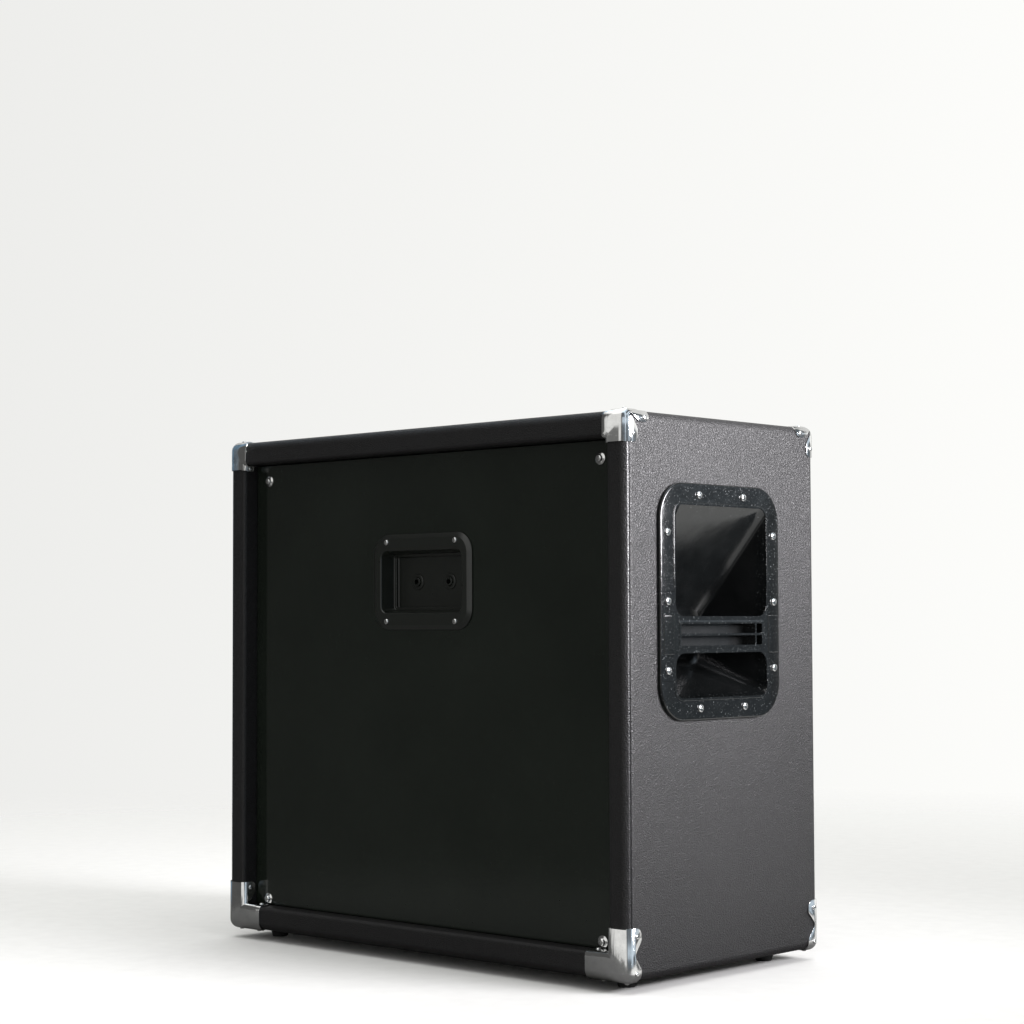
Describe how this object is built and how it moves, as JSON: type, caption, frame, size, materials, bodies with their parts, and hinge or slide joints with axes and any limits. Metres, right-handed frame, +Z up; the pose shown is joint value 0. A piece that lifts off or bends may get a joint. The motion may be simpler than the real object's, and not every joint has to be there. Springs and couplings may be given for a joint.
{
  "type": "empty speaker cabinet",
  "caption": "Closed-back loudspeaker cabinet without its drivers: vinyl-covered box with steel corners, recessed bar handles, a jack dish, a screwed back panel, a baffle and a grille.",
  "frame": {"origin": "on the floor under the centre of the cabinet", "axes": "+X to the right seen from the front (grille) side, +Y towards the back panel, +Z up"},
  "size_m": [0.6752, 0.3464, 0.6259],
  "materials": {
    "plywood": "raw birch plywood",
    "black_vinyl": "leather-grain vinyl, semi-matte",
    "black_painted_wood": "black paint, semi-matte",
    "foam": "matte foam tape",
    "black_cloth": "coarse woven cloth",
    "black_plastic": "moulded, glossy with a fine grain",
    "socket_plastic": "moulded nylon",
    "nickel_plate": "bright nickel on steel",
    "rubber": "matte"
  },
  "bodies": {
    "root": {"back_batten_bottom": "plywood", "back_batten_left": "plywood", "back_batten_right": "plywood", "back_batten_top": "plywood", "back_panel": "black_painted_wood", "back_panel_seal": "foam", "baffle_board": "black_painted_wood", "bottom_board": "plywood", "centre_brace": "plywood", "corner_bottom_back_left": "nickel_plate", "corner_bottom_back_right": "nickel_plate", "corner_bottom_front_left": "nickel_plate", "corner_bottom_front_right": "nickel_plate", "corner_top_back_left": "nickel_plate", "corner_top_back_right": "nickel_plate", "corner_top_front_left": "nickel_plate", "corner_top_front_right": "nickel_plate", "dish_screw_bottom_left": "nickel_plate", "dish_screw_bottom_right": "nickel_plate", "dish_screw_top_left": "nickel_plate", "dish_screw_top_right": "nickel_plate", "foot_back_left": "rubber", "foot_back_right": "rubber", "foot_front_left": "rubber", "foot_front_right": "rubber", "foot_screw_back_left": "nickel_plate", "foot_screw_back_right": "nickel_plate", "foot_screw_front_left": "nickel_plate", "foot_screw_front_right": "nickel_plate", "front_batten_bottom": "plywood", "front_batten_left": "plywood", "front_batten_right": "plywood", "front_batten_top": "plywood", "grille_cloth": "black_cloth", "grille_fastener_strip_bottom": "black_cloth", "grille_fastener_strip_top": "black_cloth", "grille_frame": "black_painted_wood", "jack_dish": "black_plastic", "jack_nut_left": "socket_plastic", "jack_nut_right": "socket_plastic", "jack_socket_left": "socket_plastic", "jack_socket_right": "socket_plastic", "left_handle_bar": "black_plastic", "left_handle_cup": "black_plastic", "left_side_board": "plywood", "panel_screw_bottom_left": "nickel_plate", "panel_screw_bottom_right": "nickel_plate", "panel_screw_top_left": "nickel_plate", "panel_screw_top_right": "nickel_plate", "panel_washer_bottom_left": "nickel_plate", "panel_washer_bottom_right": "nickel_plate", "panel_washer_top_left": "nickel_plate", "panel_washer_top_right": "nickel_plate", "right_handle_bar": "black_plastic", "right_handle_cup": "black_plastic", "right_side_board": "plywood", "top_board": "plywood", "vinyl_covering": "black_vinyl"}
  },
  "joints": []
}
